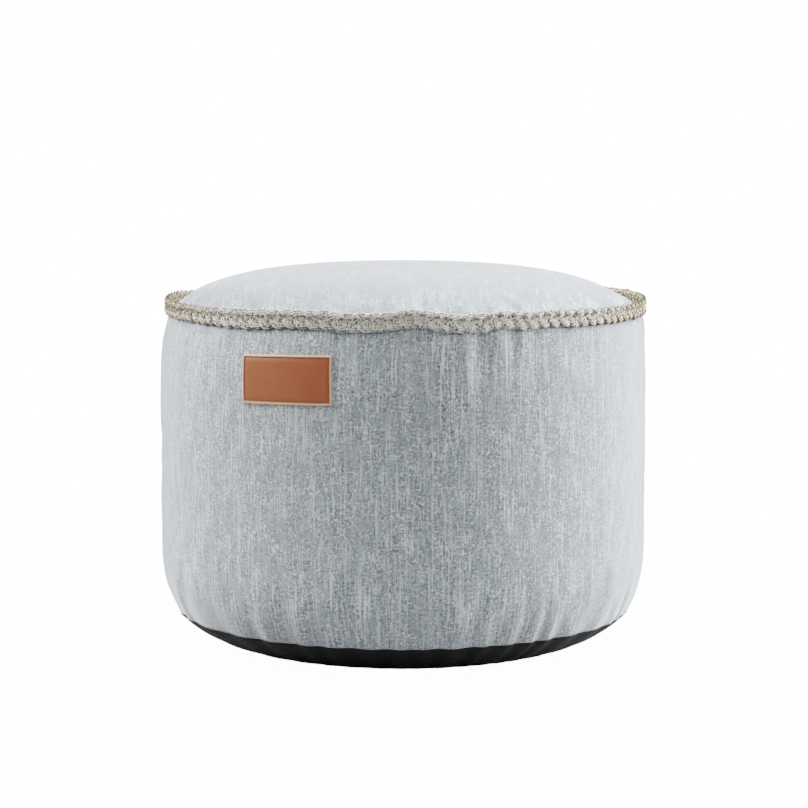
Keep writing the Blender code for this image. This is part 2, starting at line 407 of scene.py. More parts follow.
def wall_line(rows):
    """(radius, height) down the side panel, evenly spaced along the cloth."""
    rough = []
    for t in np.linspace(1, 0, OUTLINE_STEPS):
        drawn_in = (DRUM_RADIUS - SHOULDER_RADIUS) * t**SHOULDER_BEND
        rough.append((DRUM_RADIUS - drawn_in, SHOULDER_START + (SHOULDER_HEIGHT - SHOULDER_START) * t))
    bottom = FOOT_HEIGHT + SEAM_GAP
    for t in np.linspace(1, 0, OUTLINE_STEPS):
        drawn_in = (DRUM_RADIUS - FOOT_RADIUS) * (1 - t) ** HEEL_BEND
        rough.append((DRUM_RADIUS - drawn_in, bottom + (HEEL_TOP - bottom) * t))
    rough = np.array(rough)
    run = along(rough)
    at = np.linspace(0, run[-1], rows)
    return [(np.interp(a, run, rough[:, 0]), np.interp(a, run, rough[:, 1])) for a in at]


def points_of(mesh):
    """A mesh's points, one row each."""
    points = np.empty(len(mesh.vertices) * 3, np.float32)
    mesh.vertices.foreach_get("co", points)
    return points.reshape(-1, 3).astype(float)


def settle_cloth(name, rows, held, pressure=12, frames=20):
    """Lets a panel settle as cloth over its filling, from rows of points. It was cut as a tube that
    is as long round each row as the folds there need. held is how firmly each row stays put."""
    round_each = np.linalg.norm(np.roll(rows, -1, 1) - rows, axis=2).sum(1)
    down = np.r_[0, np.cumsum(np.linalg.norm(np.diff(rows, axis=0), axis=2).mean(1))]
    tube = rings(np.stack([round_each / (2 * np.pi), -down], 1), rows.shape[1])
    trial = round_piece(name + "_trial", rows)
    trial.shape_key_add(name="Basis")
    key = trial.shape_key_add(name="Cut")
    key.data.foreach_set("co", tube.astype(np.float32).ravel())
    key.value = 0
    group = trial.vertex_groups.new(name="held")
    for row, weight in enumerate(held):
        if weight > 0:
            first = row * rows.shape[1]
            group.add(list(range(first, first + rows.shape[1])), float(weight), "REPLACE")
    cloth = trial.modifiers.new("Cloth", "CLOTH")
    settings = cloth.settings
    settings.quality = 7
    settings.mass = 0.3
    settings.tension_stiffness = 15
    settings.compression_stiffness = 15
    settings.shear_stiffness = 5
    settings.bending_stiffness = 4
    settings.tension_damping = 25
    settings.compression_damping = 25
    settings.bending_damping = 5
    settings.rest_shape_key = key
    settings.vertex_group_mass = "held"
    settings.pin_stiffness = 1
    settings.use_pressure = True
    settings.uniform_pressure_force = pressure
    settings.effector_weights.gravity = 0
    cloth.point_cache.frame_start = 1
    cloth.point_cache.frame_end = frames
    scene = bpy.context.scene
    for frame_number in range(1, frames + 1):
        scene.frame_set(frame_number)
    graph = bpy.context.evaluated_depsgraph_get()
    result = points_of(trial.evaluated_get(graph).data).reshape(rows.shape)
    mesh = trial.data
    bpy.data.objects.remove(trial)
    bpy.data.meshes.remove(mesh)
    scene.frame_set(1)
    return result


def evened(values, passes):
    """Softens what is finer than a few points of the rows."""
    for _ in range(passes):
        values = (np.roll(values, 1, 1) + 2 * values + np.roll(values, -1, 1)) / 4
        values[1:-1] = (values[:-2] + 2 * values[1:-1] + values[2:]) / 4
    return values


# how far the beads may push a point out from where the folds put it
SETTLE_CAP = 0.004

wall = wall_line(WALL_ROWS)
wall_rows = settled(side_folds(rings(wall)))
held = np.zeros(WALL_ROWS)
held[[0, -1]] = 1
moved = settle_cloth("side_panel", wall_rows, held)
azimuth, radius = seen_round(moved)
out = radius - seen_round(wall_rows)[1]
out = evened(out - out.mean(1)[:, None], 1)
out *= 1 - under_patch(azimuth, moved[..., 2])
wall_rows = pushed(wall_rows, SETTLE_CAP * np.tanh(out / SETTLE_CAP))
crown_under = inset(crown_line(CAP_ROWS), CLOTH + UNDER_CROWN)
neck = [
    (NECK_RADIUS, crown_under[-1][1] - NECK_DROP),
    (NECK_RADIUS, SHOULDER_HEIGHT + NECK_FOOT),
]
foot_under = inset(foot_line(CAP_ROWS), UNDER_CLOTH)
upper = settled(top_folds(rings(crown_under + neck, 2 * ROUND)))
lower = foot_folds(rings(foot_under, 2 * ROUND))
drum_line = crown_under + neck + wall_line(2 * WALL_ROWS - 1) + foot_under
drum_cut = rings([(DRUM_RADIUS, -down) for down in along(drum_line)], 2 * ROUND)
drum = round_piece(
    "side_panel",
    np.concatenate([upper, doubled(wall_rows), lower]),
    top=(0, 0, CROWN_TOP - CLOTH - UNDER_CROWN),
    bottom=(0, 0, UNDER_CLOTH),
    cut=drum_cut,
)


def to_linear(code):
    """sRGB hex to a linear RGBA colour."""
    values = [int(code[i : i + 2], 16) / 255 for i in (1, 3, 5)]
    return (*[v / 12.92 if v <= 0.04045 else ((v + 0.055) / 1.055) ** 2.4 for v in values], 1)


def node(tree, kind, inputs=(), **settings):
    """Adds a node. inputs maps a socket's name or number to a value or to another node's socket."""
    made = tree.nodes.new("ShaderNode" + kind)
    for name, value in settings.items():
        setattr(made, name, value)
    for socket, value in dict(inputs).items():
        if isinstance(value, bpy.types.NodeSocket):
            tree.links.new(value, made.inputs[socket])
        else:
            made.inputs[socket].default_value = value
    return made


def new_material(name):
    """An empty material, to add nodes to."""
    made = bpy.data.materials.new(name)
    made.use_nodes = True
    made.node_tree.nodes.clear()
    return made


# What is woven into the cloth, over its darkest fibres. The real threads are about 0.6 mm apart, too
# fine to show at this size, so a grain here stands for two or three of them. Each row: size of a
# grain across the warp and along it in metres, the noise that gives none and all of it, how much
# of its colour goes in, how far it stands up against the others, and its colour.
DARK_FIBRE = "#6f797f"
WEAVE = (
    # pale fibres in every thread
    (0.0021, 0.0025, 0.28, 0.72, 1.00, 0.75, "#afb8bc"),
    # slubs in the warp: short, long and thick
    (0.0019, 0.0120, 0.57, 0.70, 0.60, 0.35, "#e9f0f4"),
    (0.0017, 0.0550, 0.58, 0.70, 0.80, 0.45, "#edf3f6"),
    (0.0042, 0.1100, 0.54, 0.74, 0.42, 0.20, "#cbd2d5"),
    # floats of the weft, dark and pale
    (0.0090, 0.0017, 0.60, 0.70, 0.44, -0.30, "#4d565c"),
    (0.0080, 0.0016, 0.61, 0.72, 0.44, 0.30, "#e2e7e9"),
    # gaps between threads, painted dark for the shade in them, and nubs
    (0.0020, 0.0021, 0.60, 0.73, 0.52, -0.50, "#464f55"),
    (0.0023, 0.0023, 0.59, 0.70, 0.80, 0.50, "#f4f9fb"),
)
WEAVE_RELIEF = 0.00015
# a plain grey drawn over the specks, a painted sheen standing in for the nap's sheen that veils them
# where the cloth is seen edge-on, and how far from the middle of the cut its share changes from the
# middle's to the edge's
NAP_SHEEN_GREY = "#8b9296"
NAP_FROM = 0.170
NAP_TO = 0.235
# how far to either side more of the painted sheen grey comes in, measured from a little left of the
# middle
SIDE_SHEEN_MIDDLE = -0.03
SIDE_SHEEN_FROM = 0.13
SIDE_SHEEN_TO = 0.26
# slow drift of the yarn's shade, then of its hue to green and to violet: the same columns
DRIFT = (
    (0.0100, 0.0400, 0.30, 0.70, 0.12, 0.00, "#c4cacc"),
    (0.0150, 0.0250, 0.44, 0.66, 0.22, 0.00, "#849e98"),
    (0.0170, 0.0280, 0.42, 0.66, 0.28, 0.00, "#999ab0"),
)


def melange_cloth(name, warp, nap, painted_side_sheen, drift, sheen):
    """Melange upholstery weave: grey-blue and near-white fibres carded together, so each thread is
    speckled, with thick pale slubs in the warp and short floats in the weft. Dry, matt and nubbly:
    light that rakes across it catches the nap. warp is the axis of the cut cloth that the warp
    follows; nap is the share of a plain grey drawn over the specks, at the cut's middle and at its
    edge: a painted sheen, standing in for the nap's sheen that veils the specks where the cloth is
    seen edge-on; painted_side_sheen is how much more of it at both sides, most at the right; drift
    is how plainly its slow changes of colour show, and sheen how much light the nap catches."""
    made = new_material(name)
    tree = made.node_tree
    place = node(tree, "Attribute", attribute_name="cut").outputs["Vector"]
    out = node(tree, "VectorMath", {0: place}, operation="LENGTH").outputs["Value"]
    # the share of the painted sheen grey, from the cut's middle to its edge
    spread = {0: out, 1: NAP_FROM, 2: NAP_TO, 3: nap[0], 4: nap[1]}
    closed = node(tree, "MapRange", spread).outputs[0]
    across = node(tree, "SeparateXYZ", {0: place}).outputs[0]
    # and more of the painted sheen grey towards both sides, most at the right
    shifted = node(tree, "Math", {0: across, 1: -SIDE_SHEEN_MIDDLE}).outputs[0]
    aside = node(tree, "Math", {0: shifted}, operation="ABSOLUTE").outputs[0]
    spread = {0: aside, 1: SIDE_SHEEN_FROM, 2: SIDE_SHEEN_TO, 3: 0.0, 4: painted_side_sheen}
    raised = node(tree, "MapRange", spread).outputs[0]
    closed = node(tree, "Math", {0: closed, 1: raised}).outputs[0]
    cloth = to_linear(DARK_FIBRE)
    height = 0.0
    for number, (across, down, low, high, amount, stands, colour) in enumerate(WEAVE + DRIFT):
        if number == len(WEAVE):
            mixed = {0: closed, 6: cloth, 7: to_linear(NAP_SHEEN_GREY)}
            cloth = node(tree, "Mix", mixed, data_type="RGBA").outputs[2]
        scale = [1 / down if axis == warp else 1 / across for axis in "XYZ"]
        # each noise starts somewhere else
        shift = (3.7 * number + 0.4, 1.3 * number + 9.2, 5.1 * number + 2.6)
        cells = node(tree, "Mapping", {0: place, "Location": shift, "Scale": scale})
        noise = node(tree, "TexNoise", {0: cells.outputs[0], "Scale": 1.0, "Detail": 0.5})
        most = amount if stands else amount * drift
        spread = {0: noise.outputs[0], 1: low, 2: high, 3: 0.0, 4: most}
        share = node(tree, "MapRange", spread).outputs[0]
        mixed = {0: share, 6: cloth, 7: to_linear(colour)}
        cloth = node(tree, "Mix", mixed, data_type="RGBA").outputs[2]
        raised = {0: share, 1: stands, 2: height}
        height = node(tree, "Math", raised, operation="MULTIPLY_ADD").outputs[0]
    stands_up = node(tree, "Math", {0: 1.0, 1: closed}, operation="SUBTRACT").outputs[0]
    bump = node(tree, "Bump", {"Strength": stands_up, "Distance": WEAVE_RELIEF, "Height": height})
    shader = node(
        tree,
        "BsdfPrincipled",
        {
            "Base Color": cloth,
            "Roughness": 0.95,
            "Specular IOR Level": 0.15,
            "Sheen Weight": sheen,
            "Sheen Roughness": 0.45,
            "Sheen Tint": (0.90, 0.96, 1.0, 1.0),
            "Normal": bump.outputs[0],
        },
    )
    node(tree, "OutputMaterial", {0: shader.outputs[0]})
    return made


drum.data.materials.append(
    melange_cloth("melange_cloth_upright", warp="Z", nap=(0.0, 0.0), painted_side_sheen=0.42, drift=1.0, sheen=1.0)
)
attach(drum, "root")
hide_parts("drum_body")

# ---------------------------------------------------------------------------------------------
# Crowned top panel. A round cut of the same cloth over the top of the filling, pulled down at the
# seam, where it puckers a little.
# ---------------------------------------------------------------------------------------------
CROWN_ROWS = 62
top_line = crown_line(CROWN_ROWS)
middle_to_first = top_line[0][0]
top_rows = settled(top_folds(rings(top_line, 2 * ROUND)))
top_cut = rings([(middle_to_first + out, 0) for out in along(top_line)], 2 * ROUND)
top = round_piece("top_panel_cloth", top_rows, top=(0, 0, CROWN_TOP), cut=top_cut)
thicken = top.modifiers.new("Cloth", "SOLIDIFY")
thicken.thickness = CLOTH
thicken.offset = -1
# over its middle its specks lie largely under the painted sheen grey, as it is seen edge-on there, but
# not where it turns down to the seam
top.data.materials.append(
    melange_cloth("melange_cloth_lying", warp="Y", nap=(0.55, 0.0), painted_side_sheen=0.0, drift=2.5, sheen=0.38)
)
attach(top, "root")
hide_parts("top_panel")

# ---------------------------------------------------------------------------------------------
# Black base panel. A round cut of close black cloth under the foot, dished by the beads' weight
# and flat where the bag stands.
# ---------------------------------------------------------------------------------------------
BASE_ROWS = 24
base_rows = foot_folds(rings(foot_line(BASE_ROWS), 2 * ROUND))
base = round_piece("base_panel_cloth", base_rows, bottom=(0, 0, 0))
thicken = base.modifiers.new("Cloth", "SOLIDIFY")
thicken.thickness = CLOTH
thicken.offset = -1


def black_cloth():
    """Close polyester cloth, dyed black: matt, with a faint grey sheen where light rakes it."""
    made = new_material("black_polyester_cloth")
    tree = made.node_tree
    place = node(tree, "TexCoord").outputs["Object"]
    # threads 1.1 mm apart stand for the real ones, which are a third of that
    noise = node(tree, "TexNoise", {0: place, "Scale": 900.0, "Detail": 2.0}).outputs[0]
    mixed = {0: noise, 6: to_linear("#030304"), 7: to_linear("#090a0b")}
    colour = node(tree, "Mix", mixed, data_type="RGBA").outputs[2]
    bump = node(tree, "Bump", {"Strength": 0.4, "Distance": 0.0003, "Height": noise})
    shader = node(
        tree,
        "BsdfPrincipled",
        {
            "Base Color": colour,
            "Roughness": 0.7,
            "Specular IOR Level": 0.25,
            "Sheen Weight": 0.02,
            "Normal": bump.outputs[0],
        },
    )
    node(tree, "OutputMaterial", {0: shader.outputs[0]})
    return made


base.data.materials.append(black_cloth())
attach(base, "root")
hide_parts("base_panel")

# ---------------------------------------------------------------------------------------------
# Plaited cord. Three strands, each a bundle of twisted natural-fibre yarns, plaited flat and sewn
# round over the top seam with its face outwards. Its arrows point to the left.
# ---------------------------------------------------------------------------------------------
PLAITS = 40
PLAIT_STEPS = 20
STRANDS = 3
STRAND_SWING = 0.0054
STRAND_DEPTH = 0.0012
YARN_RADIUS = 0.00105
YARN_SIDES = 6
YARN_TURNS = 270
# where the yarns of a strand lie: across it, and out from its middle
YARNS = (
    (-0.0030, -0.0001),
    (-0.0010, 0.0006),
    (0.0010, 0.0006),
    (0.0030, -0.0001),
    (-0.0013, -0.0010),
    (0.0013, -0.0010),
)
# how unevenly it is plaited, as shares: a strand's swing, its place along, and a yarn's thickness
LOOSE_SWING = 0.12
LOOSE_PLACE = 0.3
UNEVEN_YARN = 0.16
# how squarely a strand turns back at the edges, and how far a yarn strays in its strand
TURN_BACK = 1.3
YARN_SWAY = 0.0003
# painted shade in the hollows: a yarn's surface is clear of it this far from the plait's middle
CLEAR = 0.0016
HOLLOW_SHADE = 0.6
# the line between two yarns: how dark, and how far round to a yarn's side it starts
YARN_SHADE = 0.4
YARN_SIDE = 0.75
# the outer side of a strand: where across the strand its shade starts, and how far it takes
DIVE_FROM = 0.2
DIVE_EASE = 0.6
# the painted shade in the gaps near the plait's top edge: how far above its middle, how tall, and
# where in the turn of the strands each starts
GAP_HEIGHT = 0.0038
GAP_TALL = 0.0025
GAP_FROM = -0.15
GAP_EASE = 0.5
# how far above the gaps the painted highlight along the top edge reaches its full strength
TOP_LIGHT_TALL = 0.0025


def soft_noise(count, waves, seed):
    """A smooth closed line of values from -1 to 1."""
    random = np.random.default_rng(seed)
    turn = np.linspace(0, 2 * np.pi, count, endpoint=False)
    total = np.zeros(count)
    for wave in range(1, waves + 1):
        total += np.sin(wave * turn + random.uniform(0, 2 * np.pi)) * random.uniform(0.3, 1)
    return total / np.abs(total).max()


def plaited_cord():
    """The cord's yarns as tubes: laid out straight, then bent round the top seam."""
    count = PLAITS * PLAIT_STEPS
    turn = 2 * np.pi * np.arange(count) / count
    length = 2 * np.pi * BRAID_RADIUS
    corner = (2 * np.pi * np.arange(YARN_SIDES) / YARN_SIDES)[:, None]
    wide = read_round(RING_WAVES, np.degrees(turn))[:, WIDE]
    tubes = []
    for strand in range(STRANDS):
        loose = 1 + LOOSE_SWING * soft_noise(count, 60, 10 + strand)
        phase = PLAITS * turn + 2 * np.pi * strand / STRANDS
        phase = phase + LOOSE_PLACE * soft_noise(count, 40, 20 + strand)
        up = STRAND_SWING * wide * loose * np.tanh(TURN_BACK * np.sin(phase)) / math.tanh(TURN_BACK)
        out = STRAND_DEPTH * np.sin(2 * phase)
        line = np.stack([turn * BRAID_RADIUS, up, out], 1)
        run = np.roll(line, -1, 0) - np.roll(line, 1, 0)
        run[[0, -1], 0] += length
        run /= np.linalg.norm(run, axis=1)[:, None]
        side = np.cross([0.0, 0.0, 1.0], run)
        side /= np.linalg.norm(side, axis=1)[:, None]
        face = np.cross(run, side)
        for yarn, (across, outward) in enumerate(YARNS):
            number = strand * len(YARNS) + yarn
            sway = YARN_SWAY * soft_noise(count, 110, 100 + number)
            middle = line + side * (across * wide + sway)[:, None]
            middle = middle + face * (outward - 0.6 * sway)[:, None]
            thick = YARN_RADIUS * (1 + UNEVEN_YARN * soft_noise(count, 160, 200 + number))
            rim = side[:, None] * np.cos(corner) + face[:, None] * np.sin(corner)
            tubes.append(middle[:, None] + thick[:, None, None] * rim)
    tubes = np.stack(tubes)
    number = np.arange(tubes[..., 0].size).reshape(tubes.shape[:3])
    ahead = np.roll(number, -1, 1)
    faces = np.stack([number, ahead, np.roll(ahead, -1, 2), np.roll(number, -1, 2)], -1)
    yarn, step, edge = np.indices(number.shape)
    across = yarn + edge / YARN_SIDES
    down = step / count
    corners_across = np.stack([across, across, across + 1 / YARN_SIDES, across + 1 / YARN_SIDES], -1)
    corners_down = np.stack([down, down + 1 / count, down + 1 / count, down], -1)
    flat = tubes.reshape(-1, 3)
    angle = flat[:, 0] / BRAID_RADIUS
    radius = BRAID_RADIUS + flat[:, 2]
    placed = np.stack([radius * np.sin(angle), -radius * np.cos(angle), BRAID_HEIGHT + flat[:, 1]], 1)
    mesh = bpy.data.meshes.new("plaited_cord")
    mesh.from_pydata(settled(placed).tolist(), [], faces.reshape(-1, 4).tolist())
    layer = mesh.uv_layers.new(name="yarn")
    layer.data.foreach_set("uv", np.stack([corners_across, corners_down], -1).astype(np.float32).ravel())
    shade = mesh.attributes.new("shade", "FLOAT", "POINT")
    # painted shade in the hollows near the plait's middle
    painted_shade = 1 - eased(np.abs(flat[:, 2]) / CLEAR)
    # a yarn's sides, where it presses on the next, lie in the shade as well, and most of all the
    # outer sides of a strand, where it dives under the next strand
    sideways = np.cos(2 * np.pi * edge.ravel() / YARN_SIDES)
    outward = sideways * np.array(YARNS)[yarn.ravel() % len(YARNS), 0] / YARNS[-3][0]
    beside = YARN_SHADE * (np.abs(sideways) > YARN_SIDE)
    dives = eased((outward - DIVE_FROM) / DIVE_EASE)
    dark = 1 - (1 - HOLLOW_SHADE * painted_shade) * (1 - beside) * (1 - dives)
    # and painted shade in the gaps just under the top edge, where one strand's loop crosses the next
    in_gap = eased((np.cos(STRANDS * PLAITS * angle - math.pi / 2) - GAP_FROM) / GAP_EASE)
    in_gap *= eased(1 - np.abs(flat[:, 1] - GAP_HEIGHT) / GAP_TALL)
    here = read_round(RING_WAVES, azimuth_of(placed[:, 0], placed[:, 1]))
    dark *= here[:, DARK]
    # a painted highlight along the plait's top edge, which also takes the painted shade away there
    painted_top_light = here[:, TOP_LIGHT] * eased((flat[:, 1] - GAP_HEIGHT) / TOP_LIGHT_TALL)
    dark = np.maximum(dark, in_gap) * (1 - painted_top_light)
    shade.data.foreach_set("value", dark.astype(np.float32))
    upper = mesh.attributes.new("upper", "FLOAT", "POINT")
    upper.data.foreach_set("value", painted_top_light.astype(np.float32))
    mesh.shade_smooth()
    piece = bpy.data.objects.new("plaited_cord", mesh)
    bpy.context.scene.collection.objects.link(piece)
    return piece


# how far to either side the cord starts to be drawn yellower and darker, and where it is fully so
SIDES_FROM = 0.170
SIDES_TO = 0.245


def natural_yarn():
    """Undyed plant-fibre yarn, twisted from loose pale fibres: dry, matt and hairy, with darker
    flecks of stalk, each yarn a little lighter or browner than the next, painted shade in its hollows
    and grooves, and a painted highlight along its top edge."""
    made = new_material("natural_fibre_yarn")
    tree = made.node_tree
    uv = node(tree, "SeparateXYZ", {0: node(tree, "UVMap", uv_map="yarn").outputs[0]})
    turns = {0: uv.outputs[1], 1: YARN_TURNS, 2: uv.outputs[0]}
    twist = node(tree, "Math", turns, operation="MULTIPLY_ADD").outputs[0]
    # two plies to a yarn, so two ridges to a turn
    plies = node(tree, "Math", {0: twist, 1: 4 * math.pi}, operation="MULTIPLY").outputs[0]
    wave = node(tree, "Math", {0: plies}, operation="SINE").outputs[0]
    ridge = node(tree, "MapRange", {0: wave, 1: -1.0, 2: 1.0, 3: 0.0, 4: 1.0}).outputs[0]
    yarn = node(tree, "Math", {0: uv.outputs[0]}, operation="FLOOR").outputs[0]
    tone = node(tree, "TexWhiteNoise", {"W": yarn}, noise_dimensions="1D").outputs["Value"]
    place = node(tree, "TexCoord").outputs["Object"]
    # stalk flecks about 2 mm long, twice the real size
    speck = node(tree, "TexNoise", {0: place, "Scale": 480.0, "Detail": 0.5}).outputs[0]
    # towards both sides it is drawn yellower and darker, with more flecks: partly a yellow tint, partly
    # painted shade
    across = node(tree, "SeparateXYZ", {0: place}).outputs[0]
    aside = node(tree, "Math", {0: across}, operation="ABSOLUTE").outputs[0]
    toward_sides = {0: aside, 1: SIDES_FROM, 2: SIDES_TO, 3: 0.08, 4: 0.9}
    sides_tint_and_shade = node(tree, "MapRange", toward_sides).outputs[0]
    speckled = node(tree, "Math", {0: sides_tint_and_shade, 1: 0.09, 2: speck}, operation="MULTIPLY_ADD").outputs[0]
    stalk = node(tree, "MapRange", {0: speckled, 1: 0.58, 2: 0.66, 3: 0.0, 4: 0.85}).outputs[0]
    bleached = node(tree, "MapRange", {0: speck, 1: 0.46, 2: 0.34, 3: 0.0, 4: 0.9}).outputs[0]
    # and a painted highlight, white, along its top edge
    top_edge = node(tree, "Attribute", attribute_name="upper").outputs["Fac"]
    painted_top_light = node(tree, "Math", {0: top_edge, 1: 0.8}, operation="MULTIPLY").outputs[0]
    # the cord's painted shade: in its hollows, at the sides of yarns and strands, and in the gaps
    hollow = node(tree, "Attribute", attribute_name="shade").outputs["Fac"]
    painted_shade = node(tree, "Math", {0: hollow, 1: 0.85}, operation="MULTIPLY").outputs[0]
    # painted shade in the grooves between the plies
    ply_groove_shade = node(tree, "MapRange", {0: ridge, 1: 0.0, 2: 0.7, 3: 0.2, 4: 0.0}).outputs[0]
    colour = to_linear("#fffcf3")
    layers = (
        (tone, "#efe9da"),
        (bleached, "#ffffff"),
        (painted_top_light, "#ffffff"),
        (sides_tint_and_shade, "#d2c094"),
        (stalk, "#3f392c"),
        (ply_groove_shade, "#b8b09c"),
        (painted_shade, "#2f2a20"),
    )
    for share, tint in layers:
        mixed = {0: share, 6: colour, 7: to_linear(tint)}
        colour = node(tree, "Mix", mixed, data_type="RGBA").outputs[2]
    bump = node(tree, "Bump", {"Strength": 0.8, "Distance": 0.0004, "Height": ridge})
    shader = node(
        tree,
        "BsdfPrincipled",
        {
            "Base Color": colour,
            "Roughness": 0.9,
            "Specular IOR Level": 0.2,
            "Sheen Weight": 0.1,
            "Normal": bump.outputs[0],
        },
    )
    node(tree, "OutputMaterial", {0: shader.outputs[0]})
    return made


braid = plaited_cord()
braid.data.materials.append(natural_yarn())
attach(braid, "root")
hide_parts("braid_trim")

# ---------------------------------------------------------------------------------------------
# Leather patch. A rectangle of tan vegetable-tanned leather, glued and sewn flat to the side, with
# a line burnt just inside its pale cut edge. Left bare.
# ---------------------------------------------------------------------------------------------
PATCH_TILT = 1.4
PATCH_CORNER = 0.0016
PATCH_STEP = 0.0015
# in from the edge, and out from the drum's wall: a cut edge, a rounded rim and the pressed line
PATCH_PROFILE = (
    (0.0, 0.0010),
    (0.0003, 0.0017),
    (0.0009, 0.0021),
    (0.0018, 0.0022),
    (0.0023, 0.0018),
    (0.0029, 0.0015),
    (0.0036, 0.0017),
    (0.0046, 0.0019),
    (0.0065, 0.0020),
)
PATCH_BACK = 0.0003
# in from the edge: where the raw edge ends, and where the burnt line starts and ends
RAW_EDGE = (0.0017, 0.0021)
LINE_STARTS = (0.0020, 0.0026)
LINE_ENDS = (0.0034, 0.0047)
# across the drum: where the leather's duller tint is strongest, towards its left end, and where that
# ends
LEFT_TINT = (-0.155, -0.085)


def patch_places(size):
    """Places across the patch: close at the rim and the pressed line, even between."""
    rim = [inside for inside, out in PATCH_PROFILE]
    count = round((size - 2 * rim[-1]) / PATCH_STEP)
    between = np.linspace(rim[-1], size - rim[-1], count + 1)[1:-1]
    return np.r_[rim, between, size - np.array(rim[::-1])]


def leather_patch():
    """The patch as a closed slab that follows the side's curve, with its rim and pressed line."""
    along, up = np.meshgrid(patch_places(PATCH_WIDE), patch_places(PATCH_TALL))
    inside = np.minimum.reduce([along, PATCH_WIDE - along, up, PATCH_TALL - up])
    rim, height = np.array(PATCH_PROFILE).T
    out = np.interp(inside, rim, height)
    along, up = along - PATCH_WIDE / 2, up - PATCH_TALL / 2
    # the corners are cut round
    from_x = np.clip((np.abs(along) - PATCH_WIDE / 2) / PATCH_CORNER + 1, 0, 1)
    from_y = np.clip((np.abs(up) - PATCH_TALL / 2) / PATCH_CORNER + 1, 0, 1)
    along -= np.sign(along) * PATCH_CORNER * from_x * (1 - np.sqrt(1 - from_y**2 / 2))
    up -= np.sign(up) * PATCH_CORNER * from_y * (1 - np.sqrt(1 - from_x**2 / 2))
    tilt = math.radians(PATCH_TILT)
    turn = math.radians(PATCH_AZIMUTH) + (along * math.cos(tilt) - up * math.sin(tilt)) / DRUM_RADIUS
    z = PATCH_HEIGHT + up * math.cos(tilt) + along * math.sin(tilt)
    wall_radius = np.interp(-z, [-h for r, h in wall], [r for r, h in wall])
    faces_out = []
    for lift in (out, np.full_like(out, PATCH_BACK)):
        radius = wall_radius + lift
        points = np.stack([radius * np.sin(turn), -radius * np.cos(turn), z], -1)
        faces_out.append(settled(points).reshape(-1, 3))
    rows, columns = along.shape
    number = np.arange(rows * columns).reshape(rows, columns)
    quads = np.stack([number[:-1, :-1], number[:-1, 1:], number[1:, 1:], number[1:, :-1]], -1)
    quads = quads.reshape(-1, 4)
    edge = np.r_[number[0, :-1], number[:-1, -1], number[-1, :0:-1], number[:0:-1, 0]]
    after = np.roll(edge, -1)
    back = rows * columns
    sides = np.stack([edge, edge + back, after + back, after], 1)
    faces = np.concatenate([quads, quads[:, ::-1] + back, sides])
    mesh = bpy.data.meshes.new("leather_patch_bare")
    mesh.from_pydata(np.concatenate(faces_out).tolist(), [], faces.tolist())
    layer = mesh.attributes.new("inside", "FLOAT", "POINT")
    layer.data.foreach_set("value", np.r_[inside.ravel(), 0 * inside.ravel()].astype(np.float32))
    mesh.shade_smooth()
    piece = bpy.data.objects.new("leather_patch_bare", mesh)
    bpy.context.scene.collection.objects.link(piece)
    return piece


def tan_leather():
    """Vegetable-tanned cowhide with a waxed satin face: warm tan that clouds to red-brown and is duller
    towards its left end, fine pores, a pale raw edge, and a line that the hot press has browned."""
    made = new_material("tan_vegetable_leather")
    tree = made.node_tree
    place = node(tree, "TexCoord").outputs["Object"]
    inside = node(tree, "Attribute", attribute_name="inside").outputs["Fac"]
    clouds = node(tree, "TexNoise", {0: place, "Scale": 38.0, "Detail": 3.0}).outputs[0]
    cloudy = node(tree, "MapRange", {0: clouds, 1: 0.35, 2: 0.65}).outputs[0]
    scuffs = node(tree, "TexNoise", {0: place, "Scale": 420.0, "Detail": 2.0}).outputs[0]
    scuffed = node(tree, "MapRange", {0: scuffs, 1: 0.55, 2: 0.75, 3: 0.0, 4: 0.35}).outputs[0]
    spread = {0: inside, 1: RAW_EDGE[0], 2: RAW_EDGE[1], 3: 0.85, 4: 0.0}
    raw = node(tree, "MapRange", spread).outputs[0]
    spread = {0: inside, 1: LINE_STARTS[0], 2: LINE_STARTS[1], 3: 0.0, 4: 1.0}
    starts = node(tree, "MapRange", spread).outputs[0]
    spread = {0: inside, 1: LINE_ENDS[0], 2: LINE_ENDS[1], 3: 1.0, 4: 0.0}
    ends = node(tree, "MapRange", spread).outputs[0]
    burnt = node(tree, "Math", {0: starts, 1: ends}, operation="MINIMUM").outputs[0]
    across = node(tree, "SeparateXYZ", {0: place}).outputs[0]
    spread = {0: across, 1: LEFT_TINT[0], 2: LEFT_TINT[1], 3: 0.8, 4: 0.0}
    left_tint = node(tree, "MapRange", spread).outputs[0]
    colour = to_linear("#a35932")
    layers = (
        (cloudy, "#9b522d"),
        (left_tint, "#9d5935"),
        (scuffed, "#a66b4a"),
        (raw, "#eebf9e"),
        (burnt, "#8a5232"),
    )
    for share, tint in layers:
        mixed = {0: share, 6: colour, 7: to_linear(tint)}
        colour = node(tree, "Mix", mixed, data_type="RGBA").outputs[2]
    pores = node(tree, "TexVoronoi", {0: place, "Scale": 1100.0}).outputs["Distance"]
    grain = node(tree, "Math", {0: pores, 1: scuffs}, operation="ADD").outputs[0]
    bump = node(tree, "Bump", {"Strength": 0.4, "Distance": 0.0002, "Height": grain})
    rough = node(tree, "MapRange", {0: scuffs, 1: 0.3, 2: 0.7, 3: 0.44, 4: 0.60}).outputs[0]
    shader = node(
        tree,
        "BsdfPrincipled",
        {
            "Base Color": colour,
            "Roughness": rough,
            "Specular IOR Level": 0.4,
            "Normal": bump.outputs[0],
        },
    )
    node(tree, "OutputMaterial", {0: shader.outputs[0]})
    return made


patch = leather_patch()
patch.data.materials.append(tan_leather())
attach(patch, "root")
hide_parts("leather_patch")

